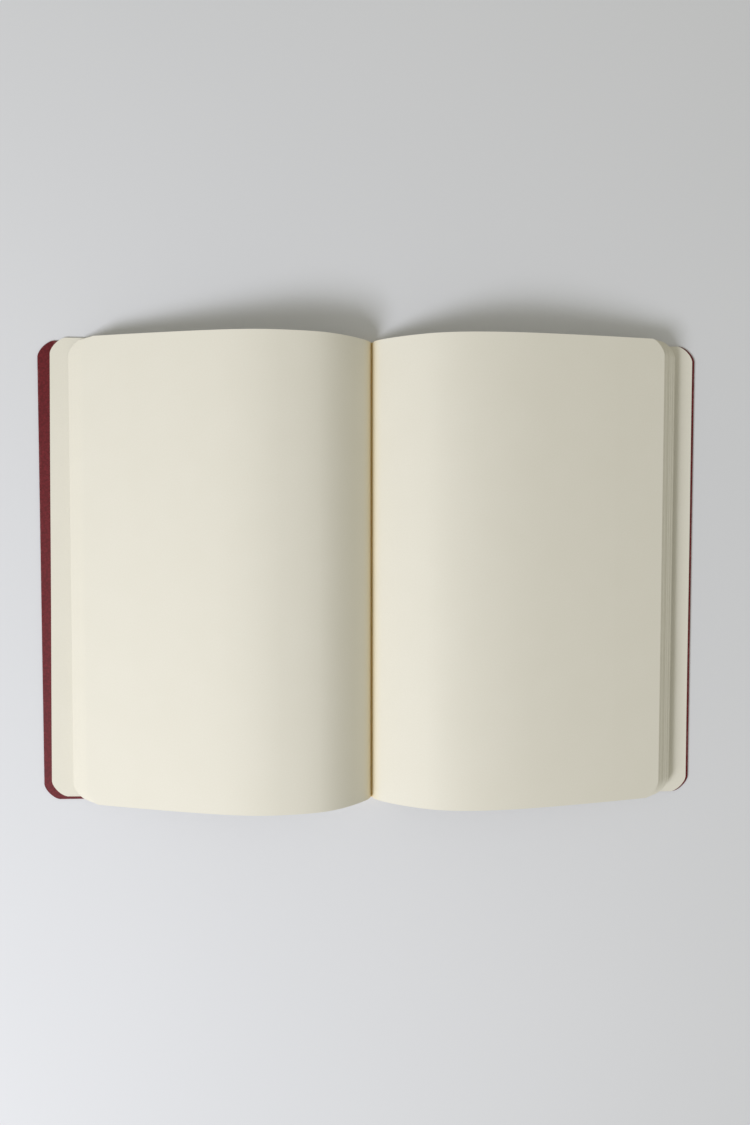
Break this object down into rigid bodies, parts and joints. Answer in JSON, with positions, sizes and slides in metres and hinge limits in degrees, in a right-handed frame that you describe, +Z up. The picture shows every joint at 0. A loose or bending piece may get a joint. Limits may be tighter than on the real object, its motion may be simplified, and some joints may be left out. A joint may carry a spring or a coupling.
{
  "type": "sketchbook",
  "caption": "Soft-cover sketchbook lying open at its middle, with arched blank pages in sewn sections and rounded fore-edge corners.",
  "frame": {"origin": "on the table, under the middle of the spine, halfway between head and tail", "axes": "+X from the front cover to the back cover across the open book, +Y from tail to head, +Z up from the table"},
  "size_m": [0.3024, 0.2114, 0.0279],
  "materials": {
    "cover_card": "matte",
    "drawing_paper": "matte",
    "lining_cloth": "matte",
    "glue": "satin",
    "thread": "matte"
  },
  "bodies": {
    "back_cover": {"back_cover": "cover_card", "back_endleaf": "drawing_paper"},
    "spine": {"spine_cover": "cover_card", "spine_lining": "lining_cloth", "spine_adhesive": "glue", "sewing_thread": "thread", "section_1_fold": "drawing_paper", "section_2_fold": "drawing_paper", "section_3_fold": "drawing_paper", "section_4_fold": "drawing_paper", "section_5_fold": "drawing_paper", "section_6_fold": "drawing_paper"},
    "front_cover": {"front_cover": "cover_card", "front_endleaf": "drawing_paper"},
    "section_3_leaves_1": {"section_3_leaves_1": "drawing_paper"},
    "section_3_leaves_2": {"section_3_leaves_2": "drawing_paper"},
    "section_3_leaves_3": {"section_3_leaves_3": "drawing_paper"},
    "section_3_leaves_4": {"section_3_leaves_4": "drawing_paper"},
    "section_3_leaves_5": {"section_3_leaves_5": "drawing_paper"},
    "section_3_leaves_6": {"section_3_leaves_6": "drawing_paper"},
    "section_2_leaves_1": {"section_2_leaves_1": "drawing_paper"},
    "section_2_leaves_2": {"section_2_leaves_2": "drawing_paper"},
    "section_2_leaves_3": {"section_2_leaves_3": "drawing_paper"},
    "section_2_leaves_4": {"section_2_leaves_4": "drawing_paper"},
    "section_2_leaves_5": {"section_2_leaves_5": "drawing_paper"},
    "section_2_leaves_6": {"section_2_leaves_6": "drawing_paper"},
    "section_1_leaves_1": {"section_1_leaves_1": "drawing_paper"},
    "section_1_leaves_2": {"section_1_leaves_2": "drawing_paper"},
    "section_1_leaves_3": {"section_1_leaves_3": "drawing_paper"},
    "section_1_leaves_4": {"section_1_leaves_4": "drawing_paper"},
    "section_1_leaves_5": {"section_1_leaves_5": "drawing_paper"},
    "section_1_leaves_6": {"section_1_leaves_6": "drawing_paper"},
    "section_4_leaves_1": {"section_4_leaves_1": "drawing_paper"},
    "section_4_leaves_2": {"section_4_leaves_2": "drawing_paper"},
    "section_4_leaves_3": {"section_4_leaves_3": "drawing_paper"},
    "section_4_leaves_4": {"section_4_leaves_4": "drawing_paper"},
    "section_4_leaves_5": {"section_4_leaves_5": "drawing_paper"},
    "section_4_leaves_6": {"section_4_leaves_6": "drawing_paper"},
    "section_5_leaves_1": {"section_5_leaves_1": "drawing_paper"},
    "section_5_leaves_2": {"section_5_leaves_2": "drawing_paper"},
    "section_5_leaves_3": {"section_5_leaves_3": "drawing_paper"},
    "section_5_leaves_4": {"section_5_leaves_4": "drawing_paper"},
    "section_5_leaves_5": {"section_5_leaves_5": "drawing_paper"},
    "section_5_leaves_6": {"section_5_leaves_6": "drawing_paper"},
    "section_6_leaves_1": {"section_6_leaves_1": "drawing_paper"},
    "section_6_leaves_2": {"section_6_leaves_2": "drawing_paper"},
    "section_6_leaves_3": {"section_6_leaves_3": "drawing_paper"},
    "section_6_leaves_4": {"section_6_leaves_4": "drawing_paper"},
    "section_6_leaves_5": {"section_6_leaves_5": "drawing_paper"},
    "section_6_leaves_6": {"section_6_leaves_6": "drawing_paper"}
  },
  "joints": [
    {"name": "spine_hinge", "type": "hinge", "parent": "back_cover", "child": "spine", "pos_m": [0.00609, 0, 0.00025], "axis": [0, 1, 0], "range_deg": [0, 90]},
    {"name": "front_cover_hinge", "type": "hinge", "parent": "spine", "child": "front_cover", "pos_m": [-0.00609, 0, 0.00025], "axis": [0, 1, 0], "range_deg": [0, 90]},
    {"name": "section_3_bend_1", "type": "hinge", "parent": "spine", "child": "section_3_leaves_1", "pos_m": [-0.00177, 0, 0.0024], "axis": [0, 1, 0], "range_deg": [-0.15, 22.15]},
    {"name": "section_3_bend_2", "type": "hinge", "parent": "section_3_leaves_1", "child": "section_3_leaves_2", "pos_m": [-0.00383, 0, 0.00751], "axis": [0, 1, 0], "range_deg": [-0.15, 25.15]},
    {"name": "section_3_bend_3", "type": "hinge", "parent": "section_3_leaves_2", "child": "section_3_leaves_3", "pos_m": [-0.01696, 0, 0.01975], "axis": [0, 1, 0], "range_deg": [-0.15, 24.15]},
    {"name": "section_3_bend_4", "type": "hinge", "parent": "section_3_leaves_3", "child": "section_3_leaves_4", "pos_m": [-0.03023, 0, 0.02432], "axis": [0, 1, 0], "range_deg": [-0.15, 14.15]},
    {"name": "section_3_bend_5", "type": "hinge", "parent": "section_3_leaves_4", "child": "section_3_leaves_5", "pos_m": [-0.05258, 0, 0.02627], "axis": [0, 1, 0], "range_deg": [-0.15, 17.15]},
    {"name": "section_3_bend_6", "type": "hinge", "parent": "section_3_leaves_5", "child": "section_3_leaves_6", "pos_m": [-0.08126, 0, 0.02018], "axis": [0, 1, 0], "range_deg": [-0.15, 3.82]},
    {"name": "section_2_bend_1", "type": "hinge", "parent": "spine", "child": "section_2_leaves_1", "pos_m": [-0.00355, 0, 0.0024], "axis": [0, 1, 0], "range_deg": [-0.15, 22.15]},
    {"name": "section_2_bend_2", "type": "hinge", "parent": "section_2_leaves_1", "child": "section_2_leaves_2", "pos_m": [-0.00523, 0, 0.00655], "axis": [0, 1, 0], "range_deg": [-0.15, 25.15]},
    {"name": "section_2_bend_3", "type": "hinge", "parent": "section_2_leaves_2", "child": "section_2_leaves_3", "pos_m": [-0.01783, 0, 0.0183], "axis": [0, 1, 0], "range_deg": [-0.15, 24.15]},
    {"name": "section_2_bend_4", "type": "hinge", "parent": "section_2_leaves_3", "child": "section_2_leaves_4", "pos_m": [-0.03057, 0, 0.02269], "axis": [0, 1, 0], "range_deg": [-0.15, 14.15]},
    {"name": "section_2_bend_5", "type": "hinge", "parent": "section_2_leaves_4", "child": "section_2_leaves_5", "pos_m": [-0.05248, 0, 0.02461], "axis": [0, 1, 0], "range_deg": [-0.15, 17.15]},
    {"name": "section_2_bend_6", "type": "hinge", "parent": "section_2_leaves_5", "child": "section_2_leaves_6", "pos_m": [-0.08086, 0, 0.01858], "axis": [0, 1, 0], "range_deg": [-0.15, 3.82]},
    {"name": "section_1_bend_1", "type": "hinge", "parent": "spine", "child": "section_1_leaves_1", "pos_m": [-0.00533, 0, 0.0024], "axis": [0, 1, 0], "range_deg": [-0.15, 22.15]},
    {"name": "section_1_bend_2", "type": "hinge", "parent": "section_1_leaves_1", "child": "section_1_leaves_2", "pos_m": [-0.00662, 0, 0.0056], "axis": [0, 1, 0], "range_deg": [-0.15, 25.15]},
    {"name": "section_1_bend_3", "type": "hinge", "parent": "section_1_leaves_2", "child": "section_1_leaves_3", "pos_m": [-0.0187, 0, 0.01686], "axis": [0, 1, 0], "range_deg": [-0.15, 24.15]},
    {"name": "section_1_bend_4", "type": "hinge", "parent": "section_1_leaves_3", "child": "section_1_leaves_4", "pos_m": [-0.03092, 0, 0.02107], "axis": [0, 1, 0], "range_deg": [-0.15, 14.15]},
    {"name": "section_1_bend_5", "type": "hinge", "parent": "section_1_leaves_4", "child": "section_1_leaves_5", "pos_m": [-0.05238, 0, 0.02294], "axis": [0, 1, 0], "range_deg": [-0.15, 17.15]},
    {"name": "section_1_bend_6", "type": "hinge", "parent": "section_1_leaves_5", "child": "section_1_leaves_6", "pos_m": [-0.08047, 0, 0.01697], "axis": [0, 1, 0], "range_deg": [-0.15, 3.82]},
    {"name": "section_4_bend_1", "type": "hinge", "parent": "spine", "child": "section_4_leaves_1", "pos_m": [0.00177, 0, 0.0024], "axis": [0, -1, 0], "range_deg": [-0.15, 22.15]},
    {"name": "section_4_bend_2", "type": "hinge", "parent": "section_4_leaves_1", "child": "section_4_leaves_2", "pos_m": [0.00394, 0, 0.00777], "axis": [0, -1, 0], "range_deg": [-0.15, 34.15]},
    {"name": "section_4_bend_3", "type": "hinge", "parent": "section_4_leaves_2", "child": "section_4_leaves_3", "pos_m": [0.01813, 0, 0.01734], "axis": [0, -1, 0], "range_deg": [-0.15, 11.15]},
    {"name": "section_4_bend_4", "type": "hinge", "parent": "section_4_leaves_3", "child": "section_4_leaves_4", "pos_m": [0.03221, 0, 0.02332], "axis": [0, -1, 0], "range_deg": [-0.15, 21.15]},
    {"name": "section_4_bend_5", "type": "hinge", "parent": "section_4_leaves_4", "child": "section_4_leaves_5", "pos_m": [0.05464, 0, 0.0241], "axis": [0, -1, 0], "range_deg": [-0.15, 10.15]},
    {"name": "section_4_bend_6", "type": "hinge", "parent": "section_4_leaves_5", "child": "section_4_leaves_6", "pos_m": [0.08347, 0, 0.02005], "axis": [0, -1, 0], "range_deg": [-0.15, 3.89]},
    {"name": "section_5_bend_1", "type": "hinge", "parent": "spine", "child": "section_5_leaves_1", "pos_m": [0.00355, 0, 0.0024], "axis": [0, -1, 0], "range_deg": [-0.15, 22.15]},
    {"name": "section_5_bend_2", "type": "hinge", "parent": "section_5_leaves_1", "child": "section_5_leaves_2", "pos_m": [0.00528, 0, 0.00668], "axis": [0, -1, 0], "range_deg": [-0.15, 34.15]},
    {"name": "section_5_bend_3", "type": "hinge", "parent": "section_5_leaves_2", "child": "section_5_leaves_3", "pos_m": [0.01893, 0, 0.01589], "axis": [0, -1, 0], "range_deg": [-0.15, 11.15]},
    {"name": "section_5_bend_4", "type": "hinge", "parent": "section_5_leaves_3", "child": "section_5_leaves_4", "pos_m": [0.03257, 0, 0.02168], "axis": [0, -1, 0], "range_deg": [-0.15, 21.15]},
    {"name": "section_5_bend_5", "type": "hinge", "parent": "section_5_leaves_4", "child": "section_5_leaves_5", "pos_m": [0.05455, 0, 0.02245], "axis": [0, -1, 0], "range_deg": [-0.15, 10.15]},
    {"name": "section_5_bend_6", "type": "hinge", "parent": "section_5_leaves_5", "child": "section_5_leaves_6", "pos_m": [0.08319, 0, 0.01842], "axis": [0, -1, 0], "range_deg": [-0.15, 3.89]},
    {"name": "section_6_bend_1", "type": "hinge", "parent": "spine", "child": "section_6_leaves_1", "pos_m": [0.00533, 0, 0.0024], "axis": [0, -1, 0], "range_deg": [-0.15, 22.15]},
    {"name": "section_6_bend_2", "type": "hinge", "parent": "section_6_leaves_1", "child": "section_6_leaves_2", "pos_m": [0.00662, 0, 0.0056], "axis": [0, -1, 0], "range_deg": [-0.15, 34.15]},
    {"name": "section_6_bend_3", "type": "hinge", "parent": "section_6_leaves_2", "child": "section_6_leaves_3", "pos_m": [0.01972, 0, 0.01443], "axis": [0, -1, 0], "range_deg": [-0.15, 11.15]},
    {"name": "section_6_bend_4", "type": "hinge", "parent": "section_6_leaves_3", "child": "section_6_leaves_4", "pos_m": [0.03293, 0, 0.02004], "axis": [0, -1, 0], "range_deg": [-0.15, 21.15]},
    {"name": "section_6_bend_5", "type": "hinge", "parent": "section_6_leaves_4", "child": "section_6_leaves_5", "pos_m": [0.05446, 0, 0.02079], "axis": [0, -1, 0], "range_deg": [-0.15, 10.15]},
    {"name": "section_6_bend_6", "type": "hinge", "parent": "section_6_leaves_5", "child": "section_6_leaves_6", "pos_m": [0.0829, 0, 0.01679], "axis": [0, -1, 0], "range_deg": [-0.15, 3.89]}
  ],
  "couplings": [
    {"joint": "section_3_bend_1", "follows": "front_cover_hinge", "ratio": 0.24444},
    {"joint": "section_3_bend_2", "follows": "front_cover_hinge", "ratio": 0.27778},
    {"joint": "section_3_bend_3", "follows": "front_cover_hinge", "ratio": 0.26667},
    {"joint": "section_3_bend_4", "follows": "front_cover_hinge", "ratio": 0.15556},
    {"joint": "section_3_bend_5", "follows": "front_cover_hinge", "ratio": 0.18889},
    {"joint": "section_3_bend_6", "follows": "front_cover_hinge", "ratio": 0.04075},
    {"joint": "section_2_bend_1", "follows": "front_cover_hinge", "ratio": 0.24444},
    {"joint": "section_2_bend_2", "follows": "front_cover_hinge", "ratio": 0.27778},
    {"joint": "section_2_bend_3", "follows": "front_cover_hinge", "ratio": 0.26667},
    {"joint": "section_2_bend_4", "follows": "front_cover_hinge", "ratio": 0.15556},
    {"joint": "section_2_bend_5", "follows": "front_cover_hinge", "ratio": 0.18889},
    {"joint": "section_2_bend_6", "follows": "front_cover_hinge", "ratio": 0.04075},
    {"joint": "section_1_bend_1", "follows": "front_cover_hinge", "ratio": 0.24444},
    {"joint": "section_1_bend_2", "follows": "front_cover_hinge", "ratio": 0.27778},
    {"joint": "section_1_bend_3", "follows": "front_cover_hinge", "ratio": 0.26667},
    {"joint": "section_1_bend_4", "follows": "front_cover_hinge", "ratio": 0.15556},
    {"joint": "section_1_bend_5", "follows": "front_cover_hinge", "ratio": 0.18889},
    {"joint": "section_1_bend_6", "follows": "front_cover_hinge", "ratio": 0.04075},
    {"joint": "section_4_bend_1", "follows": "spine_hinge", "ratio": 0.24444},
    {"joint": "section_4_bend_2", "follows": "spine_hinge", "ratio": 0.37778},
    {"joint": "section_4_bend_3", "follows": "spine_hinge", "ratio": 0.12222},
    {"joint": "section_4_bend_4", "follows": "spine_hinge", "ratio": 0.23333},
    {"joint": "section_4_bend_5", "follows": "spine_hinge", "ratio": 0.11111},
    {"joint": "section_4_bend_6", "follows": "spine_hinge", "ratio": 0.041599},
    {"joint": "section_5_bend_1", "follows": "spine_hinge", "ratio": 0.24444},
    {"joint": "section_5_bend_2", "follows": "spine_hinge", "ratio": 0.37778},
    {"joint": "section_5_bend_3", "follows": "spine_hinge", "ratio": 0.12222},
    {"joint": "section_5_bend_4", "follows": "spine_hinge", "ratio": 0.23333},
    {"joint": "section_5_bend_5", "follows": "spine_hinge", "ratio": 0.11111},
    {"joint": "section_5_bend_6", "follows": "spine_hinge", "ratio": 0.041599},
    {"joint": "section_6_bend_1", "follows": "spine_hinge", "ratio": 0.24444},
    {"joint": "section_6_bend_2", "follows": "spine_hinge", "ratio": 0.37778},
    {"joint": "section_6_bend_3", "follows": "spine_hinge", "ratio": 0.12222},
    {"joint": "section_6_bend_4", "follows": "spine_hinge", "ratio": 0.23333},
    {"joint": "section_6_bend_5", "follows": "spine_hinge", "ratio": 0.11111},
    {"joint": "section_6_bend_6", "follows": "spine_hinge", "ratio": 0.041599}
  ]
}
